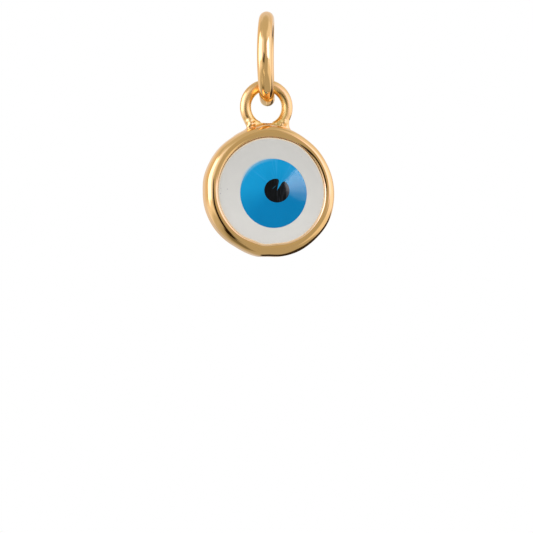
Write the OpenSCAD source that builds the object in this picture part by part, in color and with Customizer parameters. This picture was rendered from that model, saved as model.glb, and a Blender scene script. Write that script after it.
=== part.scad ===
// Evil eye pendant: a round gold cup with a layered eye stone, hung from a jump ring.
// Millimetres, +Z up. The origin is the inner top of the jump ring, where a chain bears.
// The jump ring stands in the YZ plane, and the stone looks towards -Y.

/* [Jump ring] */
// Outer diameter of the jump ring
ring_d = 6.05; // [5.4:0.05:7.5]
// Thickness of the jump ring's wire
ring_wire = 0.95; // [0.6:0.05:1.05]

/* [Bail loop] */
// Width of the hole in the loop on top of the cup
loop_hole = 1.98; // [1.7:0.02:2.6]
// Thickness of the loop's wire
loop_wire = 0.70; // [0.5:0.02:0.8]
// How far the loop's lowest edge is sunk into the cup's wall
loop_sink = 0.48; // [0.3:0.01:0.5]
// How far the loop's middle lies behind the crest of the rim
loop_depth = 1.45; // [1.0:0.05:1.6]
// Play where the loop hangs on the jump ring
link_play = 0.03; // [0.02:0.005:0.08]
// How far the drop is turned on its ring, to the right as seen from the front
drop_turn = 13.5; // [-20:0.5:20]

/* [Solder] */
// Radius of the hollow curve from the loop down to the cup
solder_round = 0.80; // [0.5:0.05:1.5]
// Thickness of the solder from front to back
solder_t = 0.60; // [0.4:0.02:0.64]

/* [Cup] */
// Outer diameter of the cup
cup_d = 8.40; // [7.4:0.1:9.6]
// Depth of the cup from the crest of the rim to the back
cup_depth = 2.10; // [1.9:0.05:2.8]
// Thickness of the cup's side
cup_wall = 0.50; // [0.44:0.01:0.6]
// Thickness of the closed back
floor_t = 0.40; // [0.3:0.02:0.5]
// Radius of the cup's back edge
back_round = 0.80; // [0.4:0.05:0.95]
// Radius of the shoulder from the rim round to the side
shoulder_round = 1.05; // [1.0:0.01:1.2]

/* [Rim] */
// How far the rim's crest lies in from the cup's side
rim_in = 0.53; // [0.48:0.01:0.6]
// Radius of the rim where it rolls over its crest
rim_round = 0.44; // [0.36:0.01:0.48]
// How far the rim reaches in over the stone
rim_over = 0.29; // [0.2:0.01:0.4]
// Height of the rim's inner edge where it meets the stone
rim_edge = 0.07; // [0.05:0.01:0.12]
// Slope of the rim's underside, in degrees
rim_slope = 42; // [35:1:48]

/* [Stone] */
// Clear gap between the stone and the cup
stone_gap = 0.03; // [0.02:0.005:0.05]
// How far the white face lies below the rim's inner edge
face_drop = 0.04; // [0.02:0.01:0.08]
// Glue line between one colour of the stone and the next
glue_line = 0.02; // [0.015:0.005:0.03]

/* [Iris] */
// Diameter of the blue disc
iris_d = 4.32; // [3.8:0.02:4.8]
// How far the blue disc lies to the right of the cup's middle
iris_right = 0.14; // [-0.3:0.01:0.3]
// How far the blue disc lies below the cup's middle
iris_low = 0.22; // [-0.3:0.01:0.4]
// Depth of the blue disc below the white
iris_t = 0.35; // [0.25:0.01:0.6]
// Rise of the blue disc's low cone, from its edge to its tip
cone_rise = 0.30; // [0.15:0.01:0.4]
// Radius of the cone's rounded tip
tip_round = 7.0; // [2:0.5:9]

/* [Pupil] */
// Diameter of the black spot
pupil_d = 1.54; // [1.2:0.02:2.0]
// How far the black spot lies to the right of the cup's middle
pupil_right = 0.32; // [-0.4:0.01:0.5]
// How far the black spot lies below the cup's middle
pupil_low = 0.08; // [-0.3:0.01:0.3]
// Depth of the black spot below the white
pupil_t = 0.10; // [0.0:0.01:0.2]
// Opening angle of the notch in the black spot
notch_angle = 18; // [10:1:30]
// Direction in which the notch opens, in degrees above the right-hand side
notch_turn = 67.0; // [0:0.5:90]
// How far the notch's tip stays from the middle of the black spot
notch_tip = 0.03; // [0.0:0.01:0.3]

/* [Hidden] */
$fn = 96;

// The ring, the loop on it and the cup, one below the other
ring_hole_r = ring_d / 2 - ring_wire;
ring_r = (ring_d - ring_wire) / 2;
ring_z = -ring_hole_r;
pivot_z = ring_z - ring_r;
loop_hole_r = loop_hole / 2;
loop_r = loop_hole_r + loop_wire / 2;
loop_outer_r = loop_hole_r + loop_wire;
loop_z = pivot_z + ring_wire / 2 + link_play - loop_hole_r;
cup_r = cup_d / 2;
cup_z = loop_z - loop_outer_r + loop_sink - cup_r;
cup_y = cup_depth - loop_depth;

// The rim: a small circle at the crest runs smoothly into the larger one of the shoulder
pocket_r = cup_r - cup_wall;
opening_r = pocket_r - rim_over;
crest_r = cup_r - rim_in;
crest_h = cup_depth - rim_round;
shoulder_r = cup_r - shoulder_round;
shoulder_h = crest_h - sqrt(pow(shoulder_round - rim_round, 2) - pow(crest_r - shoulder_r, 2));
shoulder_end = atan2(crest_h - shoulder_h, crest_r - shoulder_r);
rim_edge_h = crest_h + sqrt(pow(rim_round, 2) - pow(crest_r - opening_r, 2));

// The pocket for the stone, and the stone inside it
pocket_top_h = rim_edge_h - rim_edge;
pocket_side_h = pocket_top_h - rim_over * tan(rim_slope);
stone_r = pocket_r - stone_gap;
stone_back_h = floor_t + stone_gap;
face_r = opening_r - stone_gap;
face_h = rim_edge_h - face_drop;
slope_gap = stone_gap / cos(rim_slope) - stone_gap * tan(rim_slope);
stone_side_h = pocket_side_h - slope_gap;
stone_neck_h = pocket_top_h - slope_gap;

// The blue disc's cone, with the cap of its tip
iris_r = iris_d / 2;
cone_angle = atan(cone_rise / iris_r);
tip_h = face_h + cone_rise - tip_round / cos(cone_angle);
tip_end_r = tip_round * sin(cone_angle);
tip_end_h = tip_h + tip_round * cos(cone_angle);

// The colours let into the face, and a height well above them
iris_floor_h = face_h - iris_t;
pupil_floor_h = face_h - pupil_t;
over_face = cup_depth + cone_rise;

// The solder's hollow curves touch both the loop's circle and the cup's
solder_drop = (pow(loop_outer_r + solder_round, 2) - pow(cup_r + solder_round, 2)
    + pow(loop_z - cup_z, 2)) / (2 * (loop_z - cup_z));
solder_x = sqrt(pow(loop_outer_r + solder_round, 2) - pow(solder_drop, 2));

gold = [0.85, 0.66, 0.36];
white = [0.86, 0.85, 0.83];
blue = [0.04, 0.55, 0.78];
black = [0.07, 0.08, 0.08];

// A wire ring lying flat round +Z
module wire_ring(mean_r, wire) {
    rotate_extrude()
        translate([mean_r, 0]) circle(d = wire);
}

// Puts what is drawn facing +Z into the cup's place on the drop
module on_drop() {
    rotate([0, 0, drop_turn])
        translate([0, cup_y, cup_z])
            rotate([90, 0, 0])
                children();
}

module jump_ring() {
    color(gold)
        translate([0, 0, ring_z])
            rotate([0, 90, 0])
                wire_ring(ring_r, ring_wire);
}

// The cup's outline from its axis outwards, as if it were full
module cup_outline() {
    square([cup_r - back_round, shoulder_h]);
    square([crest_r, crest_h]);
    translate([0, back_round])
        square([cup_r, shoulder_h - back_round]);
    translate([cup_r - back_round, back_round])
        circle(back_round);
    intersection() {
        translate([shoulder_r, shoulder_h])
            circle(shoulder_round);
        shoulder_sector(2 * shoulder_round);
    }
    translate([crest_r, crest_h])
        circle(rim_round);
}

// The wedge that keeps the shoulder's arc between the side and the rim
module shoulder_sector(reach) {
    translate([shoulder_r, shoulder_h])
        polygon([
            [0, 0],
            [reach, 0],
            [reach * cos(shoulder_end), reach * sin(shoulder_end)]
        ]);
}

module pocket_outline() {
    polygon([
        [0, floor_t],
        [pocket_r, floor_t],
        [pocket_r, pocket_side_h],
        [opening_r, pocket_top_h],
        [opening_r, over_face],
        [0, over_face]
    ]);
}

// The solder between the loop's feet, hollowed at both sides
module solder_outline() {
    rise = loop_z - cup_z;
    difference() {
        polygon([[0, rise], [solder_x, rise - solder_drop], [0, 0], [-solder_x, rise - solder_drop]]);
        translate([0, rise])
            circle(loop_hole_r);
        for (side = [-1, 1])
            translate([side * solder_x, rise - solder_drop])
                circle(solder_round);
    }
}

module bezel_cup() {
    color(gold)
        on_drop()
            difference() {
                union() {
                    rotate_extrude()
                        cup_outline();
                    translate([0, loop_z - cup_z, cup_y])
                        wire_ring(loop_r, loop_wire);
                    translate([0, 0, cup_y - solder_t / 2])
                        linear_extrude(solder_t)
                            solder_outline();
                }
                rotate_extrude()
                    pocket_outline();
            }
}

// Puts what is drawn round the axis into the blue disc's place on the face
module at_iris() {
    translate([iris_right, -iris_low, 0])
        children();
}

module eye_white() {
    color(white)
        on_drop()
            difference() {
                rotate_extrude()
                    polygon([
                        [0, stone_back_h],
                        [stone_r, stone_back_h],
                        [stone_r, stone_side_h],
                        [face_r, stone_neck_h],
                        [face_r, face_h],
                        [0, face_h]
                    ]);
                at_iris()
                    translate([0, 0, iris_floor_h])
                        cylinder(r = iris_r + glue_line, h = over_face);
            }
}

// The blue disc with its low cone, before the black spot is let in
module eye_form() {
    at_iris()
        rotate_extrude()
            difference() {
                polygon([
                    [0, iris_floor_h + glue_line],
                    [iris_r, iris_floor_h + glue_line],
                    [iris_r, face_h],
                    [0, face_h + cone_rise]
                ]);
                difference() {
                    translate([0, tip_end_h])
                        square([tip_end_r, cone_rise]);
                    translate([0, tip_h])
                        circle(tip_round);
                }
            }
}

// The black spot with its notch; growing it closes the notch by as much on each side
module pupil_shape(grow = 0) {
    notch_reach = pupil_d + glue_line;
    tip = notch_tip + grow / sin(notch_angle / 2);
    translate([pupil_right, -pupil_low])
        difference() {
            circle(pupil_d / 2 + grow);
            rotate(notch_turn)
                polygon([
                    [tip, 0],
                    [tip + notch_reach, -notch_reach * tan(notch_angle / 2)],
                    [tip + notch_reach, notch_reach * tan(notch_angle / 2)]
                ]);
        }
}

module iris() {
    color(blue)
        on_drop()
            difference() {
                eye_form();
                translate([0, 0, pupil_floor_h])
                    linear_extrude(over_face)
                        pupil_shape(glue_line);
            }
}

module pupil() {
    color(black)
        on_drop()
            intersection() {
                eye_form();
                translate([0, 0, pupil_floor_h + glue_line])
                    linear_extrude(over_face)
                        pupil_shape();
            }
}

jump_ring();
bezel_cup();
eye_white();
iris();
pupil();
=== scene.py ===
"""Evil eye pendant: a gold cup with a layered eye stone on a jump ring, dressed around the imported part.

A piece is shaped in millimetres and placed in metres. In the row frame +Z is up, the stone looks
towards -Y, and the origin is the inner top of the jump ring. The drop has a frame of its own: x to
the right and y up as seen from the front, h from the cup's back towards the viewer.
"""

import logging
import math
from collections.abc import Callable, Sequence
from dataclasses import dataclass, field
from enum import Enum
from typing import ClassVar

import bpy
import numpy as np
from mathutils import Matrix, Vector

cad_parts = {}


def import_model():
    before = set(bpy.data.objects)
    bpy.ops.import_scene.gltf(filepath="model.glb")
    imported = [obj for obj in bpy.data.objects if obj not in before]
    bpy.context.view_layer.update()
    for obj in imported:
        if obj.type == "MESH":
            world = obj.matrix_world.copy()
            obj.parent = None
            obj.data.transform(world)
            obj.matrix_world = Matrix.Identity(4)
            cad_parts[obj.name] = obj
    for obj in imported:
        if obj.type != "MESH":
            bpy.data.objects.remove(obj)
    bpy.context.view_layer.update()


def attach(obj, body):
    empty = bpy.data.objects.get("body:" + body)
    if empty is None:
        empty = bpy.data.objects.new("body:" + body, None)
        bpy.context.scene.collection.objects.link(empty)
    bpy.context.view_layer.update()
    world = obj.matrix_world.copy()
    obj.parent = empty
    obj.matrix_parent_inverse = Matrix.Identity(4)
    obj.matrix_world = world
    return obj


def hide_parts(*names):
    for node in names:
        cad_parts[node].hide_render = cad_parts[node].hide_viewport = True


MM = 0.001
LOG = logging.getLogger("evil_eye_pendant")

Array = np.ndarray
Colour = tuple[float, float, float]
Field = Callable[[Array, Array, Array], Array]
Height = Callable[[Array, Array], Array]
Table = tuple[tuple[float, float], ...]
Node = bpy.types.Node
Object = bpy.types.Object
Socket = bpy.types.NodeSocket
Sockets = bpy.types.bpy_prop_collection
Tree = bpy.types.NodeTree

# The mark on the mesh: 1 at the edge where the rim meets the white, 0 away from it; the finishes paint a
# highlight on the gold and a warm glow on the white along it
LIP = "lip"
RING = ("jump_ring",)
STONE = ("eye_white", "iris", "pupil")


class Slot(Enum):
    """The record's material slots."""

    GOLD = "gold"
    WHITE = "white"
    BLUE = "blue"
    BLACK = "black"


class Body(Enum):
    """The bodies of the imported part."""

    RING = "ring"
    DROP = "drop"


# Small sums that several pieces share


def smooth_step(low: float, high: float, value: Array) -> Array:
    """Rise smoothly from 0 at low to 1 at high.

    Args:
        low: Where the rise begins.
        high: Where the rise ends; it may lie below low for a fall.
        value: Where the rise is wanted.

    Returns:
        The rise at each value, from 0 to 1.
    """
    t = np.clip((value - low) / (high - low), 0.0, 1.0)
    return t * t * (3.0 - 2.0 * t)


def melt(a: Array, b: Array, reach: float) -> Array:
    """Join two solids with a rounded seam.

    Args:
        a: The first solid's field, negative inside.
        b: The second solid's field.
        reach: How near the surfaces have to be to flow together, in millimetres.

    Returns:
        The joined solid's field.
    """
    near = np.maximum(reach - np.abs(a - b), 0.0) / reach
    return np.minimum(a, b) - near * near * reach * 0.25


def carve(a: Array, b: Array, reach: float) -> Array:
    """Cut one solid from another and ease the cut's edge.

    Args:
        a: The field of the solid that stays.
        b: The field of the solid that is taken away.
        reach: How far from the edge the easing begins, in millimetres.

    Returns:
        The field of what is left.
    """
    return -melt(-a, b, reach)


def cut_round(a: Array, b: Array, radius: float) -> Array:
    """Cut one solid from another and roll the cut's edge over.

    Args:
        a: The field of the solid that stays.
        b: The field of the solid that is taken away.
        radius: Radius of the rolled edge, in millimetres.

    Returns:
        The field of what is left.
    """
    corner = np.hypot(np.maximum(a + radius, 0.0), np.maximum(radius - b, 0.0))
    return np.minimum(np.maximum(a, -b), -radius) + corner


def round_curve(table: Table, angle: Array) -> Array:
    """Read a smooth closed curve through a table of angles and values.

    Args:
        table: Angles in degrees, rising, each with its value.
        angle: Where the curve is wanted, in degrees.

    Returns:
        The curve's value at each angle.
    """
    at, value = np.array(table).T
    at = np.concatenate([at[-1:] - 360.0, at, at[:2] + 360.0])
    value = np.concatenate([value[-1:], value, value[:2]])
    slope = np.gradient(value, at)
    turned = (angle - at[1]) % 360.0 + at[1]
    k = np.clip(np.searchsorted(at, turned, side="right") - 1, 1, len(at) - 3)
    wide = at[k + 1] - at[k]
    t = (turned - at[k]) / wide
    rise = t * t * (3.0 - 2.0 * t)
    bend = wide * (slope[k] * t * (1.0 - t) ** 2 - slope[k + 1] * t * t * (1.0 - t))
    return value[k] + (value[k + 1] - value[k]) * rise + bend


def even_angles(count: int) -> Array:
    """Return angles spread evenly over a full turn, in radians."""
    return np.linspace(0.0, 2.0 * math.pi, count, endpoint=False)


def facing(azimuth: float, elevation: float, tilt: float = 0.0) -> tuple[Vector, Vector, Vector]:
    """Return the axes of a thing that looks at the pendant.

    Args:
        azimuth: Where it stands, in degrees from straight in front round to the right.
        elevation: Where it stands, in degrees above the level.
        tilt: How far it is rolled, in degrees.

    Returns:
        Its right, its up and the way from the pendant to it.
    """
    a, e, t = map(math.radians, (azimuth, elevation, tilt))
    away = Vector((math.sin(a) * math.cos(e), -math.cos(a) * math.cos(e), math.sin(e)))
    level = Vector((math.cos(a), math.sin(a), 0.0))
    right = level * math.cos(t) + away.cross(level) * math.sin(t)
    return right, away.cross(right), away


def put_facing(name: str, data: bpy.types.ID, axes: tuple[Vector, Vector, Vector], spot: Vector) -> Object:
    """Make an object that looks at the pendant.

    Args:
        name: The object's name.
        data: Its camera or light.
        axes: Its right, its up and the way from the pendant to it.
        spot: Where it stands, in metres.

    Returns:
        The new object, linked to the scene.
    """
    thing = bpy.data.objects.new(name, data)
    bpy.context.scene.collection.objects.link(thing)
    thing.matrix_world = Matrix.Translation(spot) @ Matrix(axes).transposed().to_4x4()
    return thing


# Meshes


@dataclass
class Shell:
    """A closed mesh that is still numbers: corners in millimetres and faces between them."""

    corners: Array
    faces: list[Sequence[int]]
    normals: Array | None = None
    marks: dict[str, Array] = field(default_factory=dict)
    sharp_from: float = 30.0

    def to_object(self, name: str, place: Matrix) -> Object:
        """Make a smooth-shaded mesh object whose place is in its corners.

        Args:
            name: The piece's name.
            place: Where the piece's own frame lies in the row frame, in metres.

        Returns:
            The new object, linked to the scene.
        """
        turn = np.array(place.to_3x3())
        corners = (self.corners * MM) @ turn.T + np.array(place.translation)
        mesh = bpy.data.meshes.new(name)
        mesh.from_pydata(corners.tolist(), [], [tuple(f) for f in self.faces])
        mesh.validate()
        mesh.update()
        mesh.polygons.foreach_set("use_smooth", np.ones(len(mesh.polygons), dtype=bool))
        if self.normals is None:
            mesh.set_sharp_from_angle(angle=math.radians(self.sharp_from))
        else:
            mesh.normals_split_custom_set_from_vertices((self.normals @ turn.T).tolist())
        for label, values in self.marks.items():
            mesh.attributes.new(label, "FLOAT", "POINT").data.foreach_set("value", values)
        piece = bpy.data.objects.new(name, mesh)
        bpy.context.scene.collection.objects.link(piece)
        return piece


@dataclass
class RingStack:
    """A closed solid built from loops of as many points each, from its first cap to its last."""

    loops: list[Array] = field(default_factory=list)

    def add(self, *loops: Array) -> None:
        """Add loops of points, each an x, y, h row in millimetres."""
        self.loops.extend(loops)

    def blend_to(self, loop: Array, steps: int, height: Height | None = None) -> None:
        """Add loops from the last one to a new one, spread evenly.

        Args:
            loop: The loop to arrive at.
            steps: How many loops to add, the last included.
            height: Gives each added loop's h from its x and y, where the face isn't straight.
        """
        start = self.loops[-1]
        for k in range(1, steps + 1):
            between = start + (loop - start) * (k / steps)
            if height is not None:
                between[:, 2] = height(between[:, 0], between[:, 1])
            self.add(between)

    def to_shell(self) -> Shell:
        """Join the loops with quads and close both ends with fans.

        Returns:
            The closed mesh, facing outwards where the loops run anticlockwise from back to front.
        """
        count = len(self.loops[0])
        here = range(count)
        ahead = [(j + 1) % count for j in here]
        faces: list[Sequence[int]] = []
        for low in range(0, (len(self.loops) - 1) * count, count):
            high = low + count
            faces.extend((low + j, low + n, high + n, high + j) for j, n in zip(here, ahead, strict=True))
        last = (len(self.loops) - 1) * count
        back, front = last + count, last + count + 1
        for j, n in zip(here, ahead, strict=True):
            faces.extend(((back, n, j), (front, last + j, last + n)))
        ends = np.array([self.loops[0].mean(axis=0), self.loops[-1].mean(axis=0)])
        return Shell(np.vstack([*self.loops, ends]), faces)


@dataclass
class NetMesher:
    """Turns a field into a closed mesh on a grid of radii, angles and heights.

    Each cell that the surface passes gets one corner, which then slides along the field's slope
    onto the surface. The flat middle inside the smallest radius is closed with fans.
    """

    radii: Array
    angles: Array
    heights: Array
    slides: int = 4
    longest_slide: float = 0.03
    least_slope: float = 0.2
    feeler: float = 1e-4
    CELL: ClassVar[list[tuple[int, ...]]] = [(a, b, c) for a in (0, 1) for b in (0, 1) for c in (0, 1)]

    def _slope(self, solid: Field, points: Array) -> Array:
        """Return the field's slope at each point."""
        slope = np.empty_like(points)
        for axis in range(3):
            step = np.zeros(3)
            step[axis] = self.feeler
            ahead, behind = points + step, points - step
            slope[:, axis] = (solid(*ahead.T) - solid(*behind.T)) / (2.0 * self.feeler)
        return slope

    def _cells(self, around: Array) -> tuple[Array, Array, Array]:
        """Find the cells whose eight grid points aren't all on one side.

        Args:
            around: Which grid points lie inside, the first angle again at the end.

        Returns:
            The cells' places along the radii, the angles and the heights.
        """
        n_r, n_t, n_h = (size - 1 for size in around.shape)
        total = np.zeros((n_r, n_t, n_h), dtype=np.int8)
        for a, b, c in self.CELL:
            total += around[a : n_r + a, b : n_t + b, c : n_h + c]
        return np.nonzero((total > 0) & (total < 8))

    def _corners(self, value: Array, cells: tuple[Array, Array, Array]) -> Array:
        """Put one point in each cell, in the middle of where its edges cross the surface.

        Args:
            value: The field at each grid point.
            cells: The cells' places along the radii, the angles and the heights.

        Returns:
            The points, each an x, y, h row.
        """
        ci, cj, ck = cells
        at = np.stack([value[ci + a, (cj + b) % len(self.angles), ck + c] for a, b, c in self.CELL])
        spot = np.zeros((len(ci), 3))
        crossings = np.zeros(len(ci))
        for one in range(8):
            for other in range(one + 1, 8):
                start, end = np.array(self.CELL[one], float), np.array(self.CELL[other], float)
                if np.abs(end - start).sum() != 1.0:
                    continue
                crossed = (at[one] < 0.0) != (at[other] < 0.0)
                share = at[one] / np.where(crossed, at[one] - at[other], 1.0)
                spot += np.where(crossed[:, None], start + share[:, None] * (end - start), 0.0)
                crossings += crossed
        spot /= crossings[:, None]
        wrapped = np.append(self.angles, self.angles[0] + 2.0 * math.pi)
        r, t, h = (
            line[c] + spot[:, k] * (line[c + 1] - line[c])
            for k, (line, c) in enumerate(((self.radii, ci), (wrapped, cj), (self.heights, ck)))
        )
        return np.stack([r * np.cos(t), r * np.sin(t), h], axis=1)

    def _quads(self, around: Array, index: Array) -> list[Sequence[int]]:
        """Join the four corners round each grid edge that crosses the surface.

        Args:
            around: Which grid points lie inside, the first angle again at the end.
            index: The number of each cell's corner.

        Returns:
            The quads, facing outwards.
        """
        n_r, n_t, n_h = around.shape[0], around.shape[1] - 1, around.shape[2]
        faces: list[Sequence[int]] = []
        steps = ((1, 0, 0), (0, 1, 0), (0, 0, 1))
        for k, step in enumerate(steps):
            u, v = steps[(k + 1) % 3], steps[(k + 2) % 3]
            here = around[: n_r - step[0], :n_t, : n_h - step[2]]
            there = around[step[0] :, step[1] : n_t + step[1], step[2] :]
            gi, gj, gk = np.nonzero(here != there)
            room = np.ones(len(gi), dtype=bool)
            if not step[0]:
                room &= (gi >= 1) & (gi <= n_r - 2)
            if not step[2]:
                room &= (gk >= 1) & (gk <= n_h - 2)
            gi, gj, gk = gi[room], gj[room], gk[room]
            corners = [
                index[gi - a * u[0] - b * v[0], (gj - a * u[1] - b * v[1]) % n_t, gk - a * u[2] - b * v[2]]
                for a, b in ((1, 1), (0, 1), (0, 0), (1, 0))
            ]
            quads = np.stack(corners, axis=1)
            inwards = ~here[gi, gj, gk]
            quads[inwards] = quads[inwards][:, ::-1]
            faces.extend(quads.tolist())
        return faces

    def mesh(self, solid: Field) -> Shell:
        """Find the solid's surface.

        Args:
            solid: The solid's field over x, y and h, negative inside.

        Returns:
            The closed mesh with a normal at each corner.
        """
        grid_r, grid_t, grid_h = np.meshgrid(self.radii, self.angles, self.heights, indexing="ij")
        value = solid(grid_r * np.cos(grid_t), grid_r * np.sin(grid_t), grid_h)
        inside = value < 0.0
        around = np.concatenate([inside, inside[:, :1]], axis=1)
        cells = self._cells(around)
        index = np.full([size - 1 for size in around.shape], -1, dtype=np.int64)
        index[cells] = np.arange(len(cells[0]))
        points = self._corners(value, cells)
        faces = self._quads(around, index)

        # The flat middles
        for k in np.unique(cells[2][cells[0] == 0]):
            rim = index[0, :, k]
            hub = len(points)
            points = np.vstack([points, [0.0, 0.0, points[rim, 2].mean()]])
            faces_up = bool(inside[0, 0, k])
            for a, b in zip(rim, np.roll(rim, -1), strict=True):
                faces.append((hub, a, b) if faces_up else (hub, b, a))

        for _ in range(self.slides):
            slope = self._slope(solid, points)
            steep = np.maximum((slope**2).sum(axis=1), self.least_slope)
            slide = -(solid(*points.T) / steep)[:, None] * slope
            length = np.linalg.norm(slide, axis=1, keepdims=True)
            points = points + slide * np.minimum(1.0, self.longest_slide / np.maximum(length, 1e-12))
        slope = self._slope(solid, points)
        slope /= np.maximum(np.linalg.norm(slope, axis=1, keepdims=True), 1e-9)
        return Shell(points, faces, slope)


# The drop's shape


@dataclass(frozen=True)
class DropFrame:
    """Where the drop's own frame lies: on the middle of the cup's back, turned about the upright."""

    behind: float = 0.65
    below: float = 10.52
    turn: float = 13.5

    def place(self) -> Matrix:
        """Return the frame's place in the row frame, in metres."""
        turned = Matrix.Rotation(math.radians(self.turn), 4, "Z")
        moved = Matrix.Translation(Vector((0.0, self.behind, -self.below)) * MM)
        return turned @ moved @ Matrix.Rotation(math.radians(90.0), 4, "X")


@dataclass(frozen=True)
class CupProfile:
    """The cup's section from its axis outwards, with the dents and waves of a hand-set rim.

    The two tables say how far the cup's side and the opening's edge lie outside their circles, at
    angles in degrees from the right and up.
    """

    radius: float = 4.20
    depth: float = 2.10
    wall: float = 0.50
    floor: float = 0.40
    back_round: float = 0.80
    shoulder_round: float = 1.05
    rim_in: float = 0.53
    rim_round: float = 0.44
    rim_over: float = 0.30
    rim_edge: float = 0.07
    rim_slope: float = 42.0
    edge_round: float = 0.11
    outline_waves: Table = (
        (0, -0.004), (12, -0.045), (25, -0.11), (40, -0.14), (55, -0.175), (70, -0.1), (90, -0.02),
        (108, -0.09), (122, -0.125), (140, -0.055), (155, -0.03), (170, 0.015), (181, -0.01),
        (195, 0.02), (215, 0.015), (229, -0.015), (240, -0.05), (251, -0.005), (260, 0.032),
        (270, -0.012), (280, 0.042), (295, 0.08), (315, 0.065), (335, 0.085), (350, 0.026),
    )
    opening_waves: Table = (
        (0, 0.03), (15, -0.03), (35, -0.085), (60, -0.07), (76, -0.11), (100, -0.09), (122, -0.09),
        (147, -0.045), (173, 0.02), (190, 0.055), (221, 0.07), (236, 0.1), (251, 0.05), (261, 0.11),
        (274, 0.03), (288, 0.08), (304, 0.11), (316, 0.1), (340, 0.08),
    )

    @property
    def pocket_radius(self) -> float:
        """Return the radius of the pocket behind the rim."""
        return self.radius - self.wall

    @property
    def opening_radius(self) -> float:
        """Return the radius of the rim's opening."""
        return self.pocket_radius - self.rim_over

    @property
    def crest(self) -> tuple[float, float]:
        """Return the radius and height of the middle of the rim's small round."""
        return self.radius - self.rim_in, self.depth - self.rim_round

    @property
    def shoulder(self) -> tuple[float, float]:
        """Return the radius and height of the middle of the shoulder's round."""
        crest_r, crest_h = self.crest
        shoulder_r = self.radius - self.shoulder_round
        reach = self.shoulder_round - self.rim_round
        return shoulder_r, crest_h - math.sqrt(reach**2 - (crest_r - shoulder_r) ** 2)

    @property
    def edge_height(self) -> float:
        """Return the height where the rim's crest ends at the opening."""
        crest_r, crest_h = self.crest
        return crest_h + math.sqrt(self.rim_round**2 - (crest_r - self.opening_radius) ** 2)

    def outline_wave(self, angle: Array) -> Array:
        """Return how far the cup's side lies outside its circle at each angle in degrees."""
        return round_curve(self.outline_waves, angle)

    def opening_wave(self, angle: Array) -> Array:
        """Return how far the opening's edge lies outside its circle at each angle in degrees."""
        return round_curve(self.opening_waves, angle)

    def beyond_opening(self, x: Array, y: Array) -> Array:
        """Return how far each point lies outside the opening's edge, as seen from the front."""
        return np.hypot(x, y) - self.opening_radius - self.opening_wave(np.degrees(np.arctan2(y, x)))

    def outer(self, r: Array, angle: Array, h: Array) -> Array:
        """Return the field of the cup as if it were full.

        Args:
            r: Distance from the axis.
            angle: Angle round the axis in degrees.
            h: Height above the back.

        Returns:
            The field, negative inside.
        """
        share = np.clip((r - self.opening_radius) / (self.radius - self.opening_radius), 0.0, 1.3)
        r = r - self.outline_wave(angle) * share
        crest_r, crest_h = self.crest
        shoulder_r, shoulder_h = self.shoulder
        across, down = r - (self.radius - self.back_round), self.back_round - h
        low = np.hypot(np.maximum(across, 0.0), np.maximum(down, 0.0))
        low += np.minimum(np.maximum(across, down), 0.0) - self.back_round
        on_shoulder = np.hypot(r - shoulder_r, h - shoulder_h) - self.shoulder_round
        on_crest = np.hypot(r - crest_r, h - crest_h) - self.rim_round
        on_crest = np.where(r < crest_r, np.minimum(on_crest, h - crest_h), on_crest)
        rise = np.arctan2(h - shoulder_h, r - shoulder_r)
        end = math.atan2(crest_h - shoulder_h, crest_r - shoulder_r)
        return np.where(h < shoulder_h, low, np.where(rise < end, on_shoulder, on_crest))

    def pocket(self, r: Array, angle: Array, h: Array) -> Array:
        """Return the field of the pocket that holds the stone, opening included.

        Args:
            r: Distance from the axis.
            angle: Angle round the axis in degrees.
            h: Height above the back.

        Returns:
            The field, negative inside.
        """
        r = r - self.opening_wave(angle)
        top = self.edge_height - self.rim_edge
        slope = math.radians(self.rim_slope)
        under_rim = (r - self.opening_radius) * math.sin(slope) + (h - top) * math.cos(slope)
        wide = np.maximum(np.maximum(self.floor - h, r - self.pocket_radius), under_rim)
        narrow = np.maximum(self.floor - h, r - self.opening_radius)
        return np.minimum(wide, narrow)


@dataclass(frozen=True)
class SolderLump:
    """A small lump of solder at the loop's foot."""

    x: float
    y: float
    h: float
    radius: float


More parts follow.
